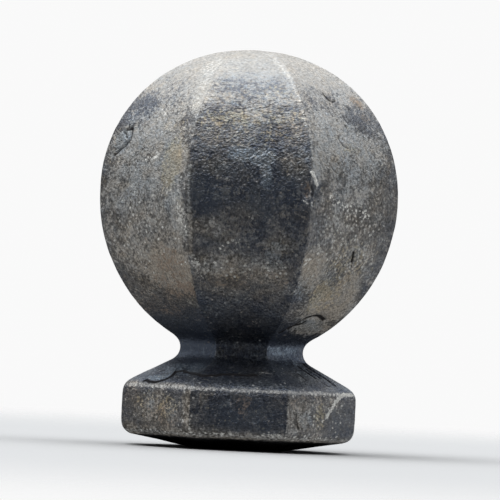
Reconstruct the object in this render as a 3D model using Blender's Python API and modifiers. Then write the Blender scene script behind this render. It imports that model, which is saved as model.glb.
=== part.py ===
"""Ball finial for a fence post: an eight-sided ball, neck and base forged as one solid piece of iron.

Run with: blender --background --python part.py
Units are metres, +Z is up, and the origin is the middle of the flat foot that the finial stands on.
The profile is drawn at half its width across flats, from the crown down, and carried round the
axis in eight flats. One flat faces -Y.
"""

import math

import bmesh
import bpy

SIDES = 8
HALF_SECTOR = math.pi / SIDES

# Widths across opposite flats.
BALL_ACROSS_FLATS = 0.0600
NECK_ACROSS_FLATS = 0.0249
BASE_ACROSS_FLATS = 0.0471
FOOT_ACROSS_FLATS = 0.0177

# Heights of the base, and the slope of the shoulder that climbs from its upper rim to the neck.
FOOT_RISE = 0.0025
BASE_WALL_HEIGHT = 0.0101
SHOULDER_SLOPE = math.radians(28.0)

# The ball is a shade squarer than round above its widest level, and drawn out a little below it.
CROWN_RISE = 0.0298
CROWN_EXPONENT = 2.04
BALL_DROP = 0.0322

# Radii of the profile's fillet at the neck and of its rounded rims, and of the long edges between the flats.
NECK_FILLET_RADIUS = 0.0026
UPPER_RIM_RADIUS = 0.0028
LOWER_RIM_RADIUS = 0.0028
LONG_EDGE_RADIUS = 0.0012

# How finely each stretch is divided.
CROWN_STEPS = 22
DROP_STEPS = 14
FILLET_STEPS = 8
RIM_STEPS = 6
LONG_EDGE_SEGMENTS = 2

MERGE_DISTANCE = 0.00001
SMOOTH_BELOW = math.radians(30.0)
HALVINGS = 50

IRON_COLOUR = (0.085, 0.088, 0.095, 1.0)
IRON_METALLIC = 0.55
IRON_ROUGHNESS = 0.5


def clear_scene():
    """Removes whatever the start-up file holds."""
    for existing in list(bpy.data.objects):
        bpy.data.objects.remove(existing, do_unlink=True)


def make_iron():
    """Forged iron under its dark scale."""
    material = bpy.data.materials.new("scaled_iron")
    material.use_nodes = True
    shader = material.node_tree.nodes["Principled BSDF"]
    shader.inputs["Base Color"].default_value = IRON_COLOUR
    shader.inputs["Metallic"].default_value = IRON_METALLIC
    shader.inputs["Roughness"].default_value = IRON_ROUGHNESS
    material.diffuse_color = IRON_COLOUR
    return material


def arc_points(centre, radius, start, end, steps):
    """Points of an arc of the profile, both ends included."""
    angles = [start + (end - start) * step / steps for step in range(steps + 1)]
    return [(centre[0] + radius * math.cos(angle), centre[1] + radius * math.sin(angle)) for angle in angles]


def rounded_rim(rim, radius, start, end):
    """Points that round a rim, where the base wall turns by the angle between start and end.

    The arc's normal turns from start to end, and its middle lies on the corner's own bisector.
    """
    half_turn = (start - end) / 2
    reach = radius / math.cos(half_turn)
    bisector = (start + end) / 2
    centre = (rim[0] - reach * math.cos(bisector), rim[1] - reach * math.sin(bisector))
    return arc_points(centre, radius, start, end, RIM_STEPS)


def crown_points():
    """Profile of the ball above its widest level, as (half width, height over the ball's centre)."""
    power = 2.0 / CROWN_EXPONENT
    points = [(0.0, CROWN_RISE)]
    for step in range(1, CROWN_STEPS + 1):
        angle = math.pi / 2 * step / CROWN_STEPS
        across = abs(math.sin(angle)) ** power
        up = abs(math.cos(angle)) ** power
        points.append((BALL_ACROSS_FLATS / 2 * across, CROWN_RISE * up))
    return points


def drop_point(angle):
    """Point of the ball's lower profile, a quarter of an ellipse that starts at the widest level."""
    return (BALL_ACROSS_FLATS / 2 * math.cos(angle), -BALL_DROP * math.sin(angle))


def drop_normal(angle):
    """Outward normal of the lower profile at that angle."""
    across = math.cos(angle) / (BALL_ACROSS_FLATS / 2)
    down = math.sin(angle) / BALL_DROP
    length = math.hypot(across, down)
    return (across / length, -down / length)


def fillet_centre(angle):
    """Centre of the neck's fillet, were it to touch the lower profile at that angle."""
    point = drop_point(angle)
    normal = drop_normal(angle)
    return (point[0] + NECK_FILLET_RADIUS * normal[0], point[1] + NECK_FILLET_RADIUS * normal[1])


def touching_angle():
    """Angle at which the fillet runs into the ball without a corner, at the neck's own width."""
    wanted = NECK_ACROSS_FLATS / 2 + NECK_FILLET_RADIUS
    wide = 0.0
    narrow = math.pi / 2
    for _ in range(HALVINGS):
        middle = (wide + narrow) / 2
        if fillet_centre(middle)[0] > wanted:
            wide = middle
        else:
            narrow = middle
    return (wide + narrow) / 2


def base_points():
    """Profile of the base: the two rounded rims, and the underside that slopes down to the flat foot."""
    wall = BASE_ACROSS_FLATS / 2
    foot = FOOT_ACROSS_FLATS / 2
    underside_slope = math.atan2(FOOT_RISE, wall - foot)
    upper_rim = (wall, FOOT_RISE + BASE_WALL_HEIGHT)
    lower_rim = (wall, FOOT_RISE)
    points = rounded_rim(upper_rim, UPPER_RIM_RADIUS, math.pi / 2 - SHOULDER_SLOPE, 0.0)
    points += rounded_rim(lower_rim, LOWER_RIM_RADIUS, 0.0, underside_slope - math.pi / 2)
    return points + [(foot, 0.0)]


def finial_profile():
    """The whole profile as (half width across flats, height), down the outer side from the crown."""
    touch = touching_angle()
    normal = drop_normal(touch)
    centre_from_ball = fillet_centre(touch)
    shoulder_start = centre_from_ball[0] - NECK_FILLET_RADIUS * math.sin(SHOULDER_SLOPE)
    climb = (BASE_ACROSS_FLATS / 2 - shoulder_start) * math.tan(SHOULDER_SLOPE)
    rim_height = FOOT_RISE + BASE_WALL_HEIGHT
    centre_height = rim_height + climb + NECK_FILLET_RADIUS * math.cos(SHOULDER_SLOPE)
    ball_height = centre_height - centre_from_ball[1]

    drop = [drop_point(touch * step / DROP_STEPS) for step in range(1, DROP_STEPS)]
    ball = [(half_width, ball_height + height) for half_width, height in crown_points() + drop]
    start = math.atan2(-normal[1], -normal[0])
    end = math.pi * 3 / 2 - SHOULDER_SLOPE
    centre = (centre_from_ball[0], centre_height)
    return ball + arc_points(centre, NECK_FILLET_RADIUS, start, end, FILLET_STEPS) + base_points()


def turned_mesh(profile):
    """Mesh of the profile carried round the axis in eight flats."""
    to_corner = 1.0 / math.cos(HALF_SECTOR)
    mesh = bpy.data.meshes.new("profile")
    vertices = [(half_width * to_corner, 0.0, height) for half_width, height in profile]
    edges = [(index, index + 1) for index in range(len(vertices) - 1)]
    mesh.from_pydata(vertices, edges, [])
    outline = bpy.data.objects.new("profile", mesh)
    bpy.context.scene.collection.objects.link(outline)
    screw = outline.modifiers.new("eight flats", "SCREW")
    screw.steps = SIDES
    screw.render_steps = SIDES
    screw.use_merge_vertices = True
    screw.merge_threshold = MERGE_DISTANCE
    evaluated = outline.evaluated_get(bpy.context.evaluated_depsgraph_get())
    turned = bpy.data.meshes.new_from_object(evaluated)
    bpy.data.objects.remove(outline, do_unlink=True)
    return turned


def close_foot(mesh):
    """Closes the foot, which the profile stops at, with one flat face."""
    cage = bmesh.new()
    cage.from_mesh(mesh)
    bmesh.ops.holes_fill(cage, edges=cage.edges, sides=SIDES)
    bmesh.ops.recalc_face_normals(cage, faces=cage.faces)
    cage.to_mesh(mesh)
    cage.free()


def weight_long_edges(mesh):
    """Weights the edges between the flats for the bevel, less where the finial is narrower.

    Those edges climb from ring to ring, and every other edge lies level.
    """
    widest = max(vertex.co.xy.length for vertex in mesh.vertices)
    weights = mesh.attributes.new("bevel_weight_edge", "FLOAT", "EDGE")
    for edge in mesh.edges:
        first, second = (mesh.vertices[index].co for index in edge.vertices)
        if abs(first.z - second.z) > MERGE_DISTANCE:
            weights.data[edge.index].value = min(first.xy.length, second.xy.length) / widest


def soften_long_edges(finial):
    """Rounds the edges between the flats."""
    bevel = finial.modifiers.new("soft long edges", "BEVEL")
    bevel.limit_method = "WEIGHT"
    bevel.width = LONG_EDGE_RADIUS * math.tan(HALF_SECTOR)
    bevel.segments = LONG_EDGE_SEGMENTS
    bevel.use_clamp_overlap = False


def build_finial():
    """Builds the finial as one solid."""
    mesh = turned_mesh(finial_profile())
    mesh.name = "ball_finial"
    close_foot(mesh)
    weight_long_edges(mesh)
    mesh.shade_smooth()
    mesh.set_sharp_from_angle(angle=SMOOTH_BELOW)
    mesh.materials.clear()
    mesh.materials.append(make_iron())
    finial = bpy.data.objects.new("ball_finial", mesh)
    finial.rotation_euler = (0.0, 0.0, HALF_SECTOR)
    soften_long_edges(finial)
    parts = bpy.data.collections.new("fence_ball_finial")
    bpy.context.scene.collection.children.link(parts)
    parts.objects.link(finial)


clear_scene()
build_finial()
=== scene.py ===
"""Finish of a forged fence ball finial: weathered mill scale over an eight-sided ball, neck and base.

Lengths are in metres, apart from those of marks and stains and of names that end in _mm, which are
in millimetres. An azimuth is in degrees round the axis from the middle of the front flat, and
positive to the camera's right. A run is how far a point lies down the profile from the middle of
the crown, in millimetres.
"""

from __future__ import annotations

import logging
import math
from dataclasses import dataclass, field
from enum import Enum
from typing import Any

import bmesh
import bpy
import numpy as np
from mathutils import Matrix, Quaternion, Vector


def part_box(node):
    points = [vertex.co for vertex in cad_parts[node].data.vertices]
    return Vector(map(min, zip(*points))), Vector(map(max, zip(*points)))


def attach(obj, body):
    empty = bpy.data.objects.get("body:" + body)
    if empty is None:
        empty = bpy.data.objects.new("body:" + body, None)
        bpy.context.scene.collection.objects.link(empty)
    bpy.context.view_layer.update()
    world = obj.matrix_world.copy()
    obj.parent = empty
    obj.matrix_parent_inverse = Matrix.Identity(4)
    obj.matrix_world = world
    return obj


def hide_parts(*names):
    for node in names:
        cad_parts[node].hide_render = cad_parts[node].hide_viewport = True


LOG = logging.getLogger("finial")
MM = 0.001
SIDES = 8
SECTOR = 2 * math.pi / SIDES
SOLID = "ball_finial"

TINY = 1e-9

Colour = tuple[float, float, float, float]
Span = tuple[float, float]
Path = tuple[tuple[float, float], ...]


class Value:
    """A number given by a node's socket, for use in Python expressions."""

    def __init__(self, graph: Graph, socket: bpy.types.NodeSocket) -> None:
        """Keeps the socket and the graph that new Math nodes go in."""
        self.graph = graph
        self.socket = socket

    def math(self, operation: str, *others: Value | float, clamp: bool = False) -> Value:
        """Adds a Math node.

        Args:
            operation: the Math node's operation.
            others: its second and third numbers, where the operation takes them.
            clamp: whether the result is kept between 0 and 1.

        Returns:
            The node's result.
        """
        inputs = dict(enumerate((self, *others)))
        return self.graph.value("ShaderNodeMath", {"operation": operation, "use_clamp": clamp}, inputs)

    def __add__(self, other: Value | float) -> Value:
        """Sum."""
        return self.math("ADD", other)

    def __radd__(self, other: float) -> Value:
        """Sum with a plain number."""
        return self.math("ADD", other)

    def __sub__(self, other: Value | float) -> Value:
        """Difference."""
        return self.math("SUBTRACT", other)

    def __rsub__(self, other: float) -> Value:
        """Difference from a plain number."""
        return self.math("MULTIPLY_ADD", -1.0, other)

    def __mul__(self, other: Value | float) -> Value:
        """Product."""
        return self.math("MULTIPLY", other)

    def __rmul__(self, other: float) -> Value:
        """Product with a plain number."""
        return self.math("MULTIPLY", other)

    def __truediv__(self, other: Value | float) -> Value:
        """Quotient."""
        return self.math("DIVIDE", other)

    def __abs__(self) -> Value:
        """Size without sign."""
        return self.math("ABSOLUTE")

    def clamped(self) -> Value:
        """The number kept between 0 and 1."""
        return self.math("ADD", 0.0, clamp=True)

    def ramp(self, low: float, high: float, start: float = 0.0, end: float = 1.0) -> Value:
        """Goes smoothly from start, at or below low, to end, at or above high."""
        inputs = {0: self, 1: low, 2: high, 3: start, 4: end}
        return self.graph.value("ShaderNodeMapRange", {"interpolation_type": "SMOOTHSTEP"}, inputs)

    def line(self, low: float, high: float, start: float = 0.0, end: float = 1.0) -> Value:
        """Goes evenly from start, at or below low, to end, at or above high."""
        inputs = {0: self, 1: low, 2: high, 3: start, 4: end}
        return self.graph.value("ShaderNodeMapRange", {"clamp": True}, inputs)

    def between(self, rise: Span, fall: Span) -> Value:
        """Rises smoothly from 0 to 1 over the first span, and is 0 again past the second."""
        return self.ramp(*rise) * self.ramp(*fall)

    def bell(self) -> Value:
        """Is 1 where the number is 0, and dies away as it passes 1 either way."""
        return (self * self * -1.0).math("EXPONENT")


class Graph:
    """A node tree that Python expressions fill in."""

    def __init__(self, tree: bpy.types.NodeTree) -> None:
        """Empties the tree."""
        self.tree = tree
        tree.nodes.clear()

    def node(self, kind: str, settings: dict[str, Any] | None = None,
             inputs: dict[int | str, Any] | None = None) -> bpy.types.Node:
        """Adds a node.

        Args:
            kind: the node's type.
            settings: properties of the node, set before its sockets.
            inputs: values or links of its sockets, by number or name.

        Returns:
            The new node.
        """
        node = self.tree.nodes.new(kind)
        for name, value in (settings or {}).items():
            setattr(node, name, value)
        for key, value in (inputs or {}).items():
            if isinstance(value, Value):
                self.tree.links.new(value.socket, node.inputs[key])
            elif isinstance(value, bpy.types.NodeSocket):
                self.tree.links.new(value, node.inputs[key])
            else:
                node.inputs[key].default_value = value
        return node

    def value(self, kind: str, settings: dict[str, Any] | None = None,
              inputs: dict[int | str, Any] | None = None, output: int | str = 0) -> Value:
        """Adds a node and gives one of its outputs as a number."""
        return Value(self, self.node(kind, settings, inputs).outputs[output])

    def xyz(self, x: Value | float, y: Value | float, z: Value | float) -> bpy.types.NodeSocket:
        """Joins three numbers into a vector."""
        return self.node("ShaderNodeCombineXYZ", None, {0: x, 1: y, 2: z}).outputs[0]

    def parts(self, vector: bpy.types.NodeSocket) -> tuple[Value, Value, Value]:
        """Takes a vector apart into its three numbers."""
        outputs = self.node("ShaderNodeSeparateXYZ", None, {0: vector}).outputs
        return Value(self, outputs[0]), Value(self, outputs[1]), Value(self, outputs[2])

    def vector(self, operation: str, first: Any, second: Any) -> bpy.types.NodeSocket:
        """Adds a Vector Math node and gives its vector."""
        key = "Scale" if operation == "SCALE" else 1
        inputs = {0: first, key: second}
        return self.node("ShaderNodeVectorMath", {"operation": operation}, inputs).outputs[0]

    def blend(self, factor: Value | float, first: Any, second: Any) -> bpy.types.NodeSocket:
        """Mixes two colours, from the first at factor 0 to the second at factor 1."""
        inputs = {0: factor, 6: first, 7: second}
        return self.node("ShaderNodeMix", {"data_type": "RGBA"}, inputs).outputs[2]

    def mix_shaders(self, factor: Any, first: bpy.types.Node,
                    second: bpy.types.Node) -> bpy.types.NodeSocket:
        """Mixes two shaders, from the first at factor 0 to the second at factor 1."""
        inputs = {0: factor, 1: first.outputs[0], 2: second.outputs[0]}
        return self.node("ShaderNodeMixShader", None, inputs).outputs[0]

    def noise(self, place: bpy.types.NodeSocket, size_mm: float, detail: float = 2.0,
              roughness: float = 0.5, distortion: float = 0.0) -> Value:
        """Cloudy noise between 0 and 1.

        Args:
            place: where it is read, in millimetres.
            size_mm: width of its largest lumps.
            detail: how many finer layers it has.
            roughness: how strong the finer layers are.
            distortion: how far it is folded.

        Returns:
            The noise.
        """
        inputs = {"Vector": place, "Scale": 1.0 / size_mm, "Detail": detail, "Roughness": roughness,
                  "Distortion": distortion}
        return self.value("ShaderNodeTexNoise", None, inputs)

    def attribute(self, name: str) -> Value:
        """A number stored on the mesh, in a material."""
        return self.value("ShaderNodeAttribute", {"attribute_name": name}, None, "Fac")


class FormTree(Graph):
    """A Geometry Nodes tree with named inputs."""

    def __init__(self, name: str) -> None:
        """Makes the tree with a geometry input and output."""
        super().__init__(bpy.data.node_groups.new(name, "GeometryNodeTree"))
        self.sockets: dict[str, bpy.types.NodeTreeInterfaceSocket] = {}
        self.values: dict[str, Any] = {}
        self.tree.interface.new_socket("Geometry", in_out="OUTPUT", socket_type="NodeSocketGeometry")
        self.tree.interface.new_socket("Geometry", in_out="INPUT", socket_type="NodeSocketGeometry")
        self.entry = self.tree.nodes.new("NodeGroupInput")

    def named_input(self, name: str, value: Any) -> bpy.types.NodeSocket:
        """Adds a named input and gives the socket that brings it in.

        Args:
            name: the input's name.
            value: what the modifier sets it to; a whole number, a number or a material.

        Returns:
            The socket inside the tree.
        """
        kinds = {int: "NodeSocketInt", float: "NodeSocketFloat", bpy.types.Material: "NodeSocketMaterial"}
        socket = self.tree.interface.new_socket(name, in_out="INPUT", socket_type=kinds[type(value)])
        self.sockets[name] = socket
        self.values[name] = value
        return self.entry.outputs[name]

    def number(self, name: str, value: float | int) -> Value:
        """Adds a named number."""
        return Value(self, self.named_input(name, value))

    def finish(self, geometry: bpy.types.NodeSocket) -> None:
        """Leads the geometry out of the tree."""
        self.node("NodeGroupOutput", None, {0: geometry})

    def grow(self, seedling: bpy.types.Object, name: str) -> bpy.types.Object:
        """Runs the tree on an object and turns the result into a plain mesh.

        Args:
            seedling: the object that the tree reads; it is removed.
            name: name of the piece.

        Returns:
            The piece, at the origin.
        """
        modifier = seedling.modifiers.new("form", "NODES")
        modifier.node_group = self.tree
        for key, socket in self.sockets.items():
            modifier[socket.identifier] = self.values[key]
        evaluated = seedling.evaluated_get(bpy.context.evaluated_depsgraph_get())
        mesh = bpy.data.meshes.new_from_object(evaluated, preserve_all_data_layers=True,
                                               depsgraph=bpy.context.evaluated_depsgraph_get())
        seedling.modifiers.remove(modifier)
        bpy.data.objects.remove(seedling, do_unlink=True)
        mesh.name = name
        piece = bpy.data.objects.new(name, mesh)
        bpy.context.scene.collection.objects.link(piece)
        return piece


@dataclass
class SolidSection:
    """The finial's profile, read off the solid where a plane through the axis cuts its front flat.

    The points run from the crown down the outer side to the foot's middle, evenly spaced, with the
    solid's facets smoothed out of the curved stretches.
    """

    spacing: float = 0.1 * MM
    smoothing: float = 0.6 * MM
    smoothing_reach: float = 3.0
    same_place: float = 0.001 * MM
    half_widths: np.ndarray = field(init=False)
    heights: np.ndarray = field(init=False)

    def __post_init__(self) -> None:
        """Cuts the solid, sorts the cut's points and evens them out."""
        cage = bmesh.new()
        cage.from_mesh(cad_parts[SOLID].data)
        bmesh.ops.remove_doubles(cage, verts=cage.verts, dist=self.same_place)
        rings = {self.rounded(vertex.co.z) for vertex in cage.verts}
        everything = cage.verts[:] + cage.edges[:] + cage.faces[:]
        cut = bmesh.ops.bisect_plane(cage, geom=everything, plane_co=(0, 0, 0), plane_no=(1, 0, 0))
        found = {self.rounded(item.co.z): -item.co.y for item in cut["geom_cut"]
                 if isinstance(item, bmesh.types.BMVert) and item.co.y < 0
                 and self.rounded(item.co.z) in rings}
        cage.free()
        low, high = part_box(SOLID)
        found.pop(self.rounded(high.z), None)
        levels = sorted(found, reverse=True)
        foot = max(-vertex.co.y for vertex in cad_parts[SOLID].data.vertices
                   if self.rounded(vertex.co.z) == self.rounded(low.z))
        found[levels[-1]] = foot
        points = np.array([(0.0, high.z)] + [(found[level], level) for level in levels] + [(0.0, low.z)])
        self.half_widths, self.heights = self.evened(points)

    @staticmethod
    def rounded(length: float) -> float:
        """A length to the nearest thousandth of a millimetre, to compare levels by."""
        return round(length, 6)

    def evened(self, points: np.ndarray) -> tuple[np.ndarray, np.ndarray]:
        """Spaces the points evenly and rounds off their corners.

        Args:
            points: half width and height of each corner of the outline.

        Returns:
            The half widths and the heights.
        """
        run = np.concatenate([[0.0], np.cumsum(np.hypot(*np.diff(points, axis=0).T))])
        count = round(run[-1] / self.spacing)
        even = np.linspace(0.0, run[-1], count + 1)
        columns = [np.interp(even, run, points[:, axis]) for axis in (0, 1)]
        reach = round(self.smoothing_reach * self.smoothing / self.spacing)
        offsets = np.arange(-reach, reach + 1) * self.spacing
        weights = np.exp(-0.5 * (offsets / self.smoothing) ** 2)
        weights /= weights.sum()
        half_widths = np.pad(columns[0], reach, mode="reflect", reflect_type="odd")
        heights = np.pad(columns[1], reach, mode="reflect")
        return np.convolve(half_widths, weights, "valid"), np.convolve(heights, weights, "valid")

    def length(self) -> float:
        """Length of the profile from the crown's middle to the foot's middle."""
        return float(np.hypot(np.diff(self.half_widths), np.diff(self.heights)).sum())

    def outline(self) -> bpy.types.Object:
        """The profile as a chain of edges in the XZ plane."""
        mesh = bpy.data.meshes.new("profile")
        vertices = [(width, 0.0, height) for width, height in zip(self.half_widths, self.heights)]
        mesh.from_pydata(vertices, [(index, index + 1) for index in range(len(vertices) - 1)], [])
        chain = bpy.data.objects.new("profile", mesh)
        bpy.context.scene.collection.objects.link(chain)
        return chain


@dataclass
class FinialBody:
    """The finial's skin: the solid's profile carried round its eight flats, with a forged surface."""

    rows: int = 286
    columns: tuple[int, ...] = (22, 22, 30, 48, 60, 48, 30, 22)
    first_edge: float = -202.5
    edge_radius: float = 0.8 * MM
    edge_crowding: float = 0.45
    side_run_mm: float = 109.0
    side_rows: float = 0.94
    wander: float = 0.30 * MM
    wander_size_mm: float = 11.0
    wander_calm: float = 2.0 * MM
    swell_depth: float = 0.20 * MM
    swell_size_mm: float = 8.0
    dent_depth: float = 0.10 * MM
    dent_size_mm: float = 3.2
    grain_depth: float = 0.07 * MM
    grain_size_mm: float = 1.3
    even_foot: Span = (0.1 * MM, 1.5 * MM)
    seam_share: float = 0.0001
    merge_distance: float = 0.002 * MM

    def build(self, section: SolidSection, finish: bpy.types.Material) -> bpy.types.Object:
        """Makes the skin as one closed mesh.

        Args:
            section: the profile.
            finish: the material.

        Returns:
            The piece, which stands for the solid.
        """
        form = FormTree("eight_flats")
        rows = form.number("Rows", self.rows)
        radius = form.number("Edge radius", self.edge_radius)
        widest = form.number("Widest half width", float(section.half_widths.max()))
        length = form.number("Profile length", section.length() / MM)
        side = form.number("Run of the side", self.side_run_mm)
        total = sum(self.columns)
        inputs = {"Size X": float(total), "Size Y": 1.0, "Vertices X": total + 1, "Vertices Y": rows}
        grid = form.node("GeometryNodeMeshGrid", None, inputs)
        across, along, _ = form.parts(form.node("GeometryNodeInputPosition").outputs[0])
        gore, azimuth = self.gores(form, across + total / 2)
        row = along + 0.5
        run = row.line(0.0, self.side_rows) * side + row.line(self.side_rows, 1.0) * (length - side)

        curve = form.node("GeometryNodeMeshToCurve", None, {0: form.entry.outputs["Geometry"]})
        inputs = {"Curves": curve.outputs[0], "Factor": run / length}
        sample = form.node("GeometryNodeSampleCurve", {"mode": "FACTOR", "data_type": "FLOAT"}, inputs)
        half_width, _, height = form.parts(sample.outputs["Position"])
        reach, edge_distance = self.octagon(form, half_width, gore, radius, widest)

        ideal = form.xyz(reach * azimuth.math("SINE"), reach * azimuth.math("COSINE") * -1.0, height)
        waver = form.noise(form.vector("SCALE", ideal, 1.0 / MM), self.wander_size_mm, 1.0) - 0.5
        wander = waver * form.number("Edge wander", self.wander) * 2.0
        turned = azimuth + wander / (reach + self.wander_calm)
        place = form.xyz(reach * turned.math("SINE"), reach * turned.math("COSINE") * -1.0, height)
        named = grid.outputs[0]
        for name, value in {"edge_mm": edge_distance / MM, "run_mm": run}.items():
            settings = {"data_type": "FLOAT", "domain": "POINT"}
            named = form.node("GeometryNodeStoreNamedAttribute", settings,
                              {"Geometry": named, "Name": name, "Value": value}).outputs[0]
        laid = form.node("GeometryNodeSetPosition", None, {"Geometry": named, "Position": place})
        closed = form.node("GeometryNodeMergeByDistance", None,
                           {"Geometry": laid.outputs[0], "Distance": self.merge_distance})
        turned_out = form.node("GeometryNodeFlipFaces", None, {"Mesh": closed.outputs[0]})
        worn = self.hammered(form, turned_out.outputs[0])
        smooth = form.node("GeometryNodeSetShadeSmooth", None, {"Geometry": worn})
        real = form.node("GeometryNodeRealizeInstances", None, {0: smooth.outputs[0]})
        dressed = form.node("GeometryNodeSetMaterial", None,
                            {"Geometry": real.outputs[0], "Material": form.named_input("Finish", finish)})
        form.finish(dressed.outputs[0])
        return form.grow(section.outline(), "finial_skin")

    def gores(self, form: FormTree, column: Value) -> tuple[Value, Value]:
        """Spreads the columns over the flats, closer together beside each edge.

        Args:
            form: the tree; not used.
            column: number of the column.

        Returns:
            The angle from the middle of the column's flat, and its azimuth, in radians.
        """
        azimuth: Value | float = math.radians(self.first_edge)
        place: Value | float = 0.0
        start = 0
        for count in self.columns:
            share = column.line(start, start + count)
            eased = share - (share * 2 * math.pi).math("SINE") * self.edge_crowding / (2 * math.pi)
            azimuth = azimuth + eased * SECTOR
            place = place + eased
            start += count
        within = place - (place - self.seam_share).math("FLOOR") - 0.5
        return within * SECTOR, azimuth

    def octagon(self, form: FormTree, half_width: Value, angle: Value, radius: Value,
                widest: Value) -> tuple[Value, Value]:
        """Distance from the axis to the eight-sided section, whose corners are rounded.

        Args:
            form: the tree; not used.
            half_width: half the section's width across flats.
            angle: angle from the middle of the flat.
            radius: the corners' radius where the finial is widest.
            widest: half width there.

        Returns:
            The distance from the axis, and the distance along the flat to the nearer corner.
        """
        rounding = radius * half_width / widest
        flat = half_width / angle.math("COSINE")
        centre = (half_width - rounding) / math.cos(SECTOR / 2)
        from_corner = abs(angle) * -1.0 + SECTOR / 2
        aside = centre * from_corner.math("SINE")
        depth = (rounding * rounding - aside * aside).math("MAXIMUM", 0.0).math("SQRT")
        arc = centre * from_corner.math("COSINE") + depth
        lateral = half_width * abs(angle).math("TANGENT")
        on_arc = lateral.math("GREATER_THAN", (half_width - rounding) * math.tan(SECTOR / 2))
        return flat + (arc - flat) * on_arc, half_width * math.tan(SECTOR / 2) - lateral

    def hammered(self, form: FormTree, mesh: bpy.types.NodeSocket) -> bpy.types.NodeSocket:
        """Sinks the surface by uneven depths, and leaves the foot flat.

        Args:
            form: the tree.
            mesh: the even skin.

        Returns:
            The uneven skin.
        """
        position = form.node("GeometryNodeInputPosition").outputs[0]
        place = form.vector("SCALE", position, 1.0 / MM)
        swell = form.noise(place, self.swell_size_mm, 1.0) * form.number("Swell depth", self.swell_depth)
        dents = form.noise(place, self.dent_size_mm, 1.0) * form.number("Dent depth", self.dent_depth)
        grain = form.noise(place, self.grain_size_mm, 1.0) * form.number("Grain depth", self.grain_depth)
        _, _, height = form.parts(position)
        free = height.ramp(*self.even_foot)
        normal = form.node("GeometryNodeInputNormal").outputs[0]
        offset = form.vector("SCALE", normal, (swell + dents + grain) * free * -1.0)
        return form.node("GeometryNodeSetPosition", None, {"Geometry": mesh, "Offset": offset}).outputs[0]


@dataclass
class SkinMap:
    """Every point of a skin by its azimuth, its run along the profile and its outward normal."""

    mesh: bpy.types.Mesh
    points: np.ndarray = field(init=False)
    normals: np.ndarray = field(init=False)
    azimuths: np.ndarray = field(init=False)
    runs: np.ndarray = field(init=False)
    radii: np.ndarray = field(init=False)

    def __post_init__(self) -> None:
        """Reads the skin, in millimetres and degrees."""
        count = len(self.mesh.vertices)
        self.points = np.empty(count * 3)
        self.mesh.vertices.foreach_get("co", self.points)
        self.points = self.points.reshape(count, 3) / MM
        self.normals = np.empty(count * 3)
        self.mesh.vertex_normals.foreach_get("vector", self.normals)
        self.normals = self.normals.reshape(count, 3)
        self.azimuths = np.degrees(np.arctan2(self.points[:, 0], -self.points[:, 1]))
        self.radii = np.hypot(self.points[:, 0], self.points[:, 1])
        self.runs = np.empty(count)
        self.mesh.attributes["run_mm"].data.foreach_get("value", self.runs)

    def turn_from(self, azimuth: float) -> np.ndarray:
        """How far round each point is from an azimuth, between -180 and 180 degrees."""
        return (self.azimuths - azimuth + 180.0) % 360.0 - 180.0

    def aside(self, azimuth: float) -> np.ndarray:
        """How far round each point is from an azimuth, in millimetres."""
        return np.radians(self.turn_from(azimuth)) * self.radii

    def flats(self) -> np.ndarray:
        """Number of the flat that each point is on, counted from the front one to the camera's right."""
        return np.round(self.azimuths * SIDES / 360.0).astype(int) % SIDES

    def on_flat(self, azimuth: float) -> np.ndarray:
        """Which points are on the same flat as an azimuth."""
        return self.flats() == round(azimuth * SIDES / 360.0) % SIDES

    def to_path(self, path: Path) -> np.ndarray:
        """Distance of each point from a line drawn on the surface.

        Args:
            path: the line's corners, each an azimuth and a run.

        Returns:
            The distances in millimetres.
        """
        nearest = np.full(len(self.runs), np.inf)
        for (azimuth, run), (next_azimuth, next_run) in zip(path, path[1:]):
            across = self.aside(azimuth)
            along = self.runs - run
            step_across = np.radians(next_azimuth - azimuth) * self.radii
            step_along = next_run - run
            length_squared = step_across ** 2 + step_along ** 2 + TINY
            share = np.clip((across * step_across + along * step_along) / length_squared, 0.0, 1.0)
            away = np.hypot(across - share * step_across, along - share * step_along)
            nearest = np.minimum(nearest, away)
        return nearest

    def inside(self, path: Path) -> np.ndarray:
        """Which points lie inside a closed line, by how often a ray to the right of them crosses it."""
        within = np.zeros(len(self.runs), dtype=bool)
        for (azimuth, run), (next_azimuth, next_run) in zip(path, path[1:] + path[:1]):
            if run == next_run:
                continue
            spans = (self.runs >= min(run, next_run)) & (self.runs < max(run, next_run))
            crossing = azimuth + (self.runs - run) / (next_run - run) * (next_azimuth - azimuth)
            within ^= spans & (self.azimuths < crossing)
        return within

    def move(self, heights: np.ndarray) -> None:
        """Raises points along their normals by heights in millimetres."""
        self.points += self.normals * heights[:, None]
        self.mesh.vertices.foreach_set("co", (self.points * MM).ravel())
        self.mesh.update()

    def store(self, name: str, values: np.ndarray) -> None:
        """Keeps one number for each point under a name that the finish reads."""
        attribute = self.mesh.attributes.new(name, "FLOAT", "POINT")
        attribute.data.foreach_set("value", values.astype(np.float32))


@dataclass(frozen=True)
class Groove:
    """A crack, a slit or, with a negative depth, a raised rim; a sunk one gets painted shade along it."""

    path: Path
    width: float = 0.35
    depth: float = 0.20
    shade: float = 0.55
    shade_falloff: float = 2.5
    depth_falloff: float = 2.0

    def hollow_shade(self, skin: SkinMap) -> np.ndarray:
        """How much painted shade it puts on each point."""
        return self.shade * np.exp(-(skin.to_path(self.path) / self.width) ** 2 * self.shade_falloff)

    def heights(self, skin: SkinMap) -> np.ndarray:
        """How far it raises each point, in millimetres."""
        return -self.depth * np.exp(-(skin.to_path(self.path) / self.width) ** 2 * self.depth_falloff)


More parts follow.
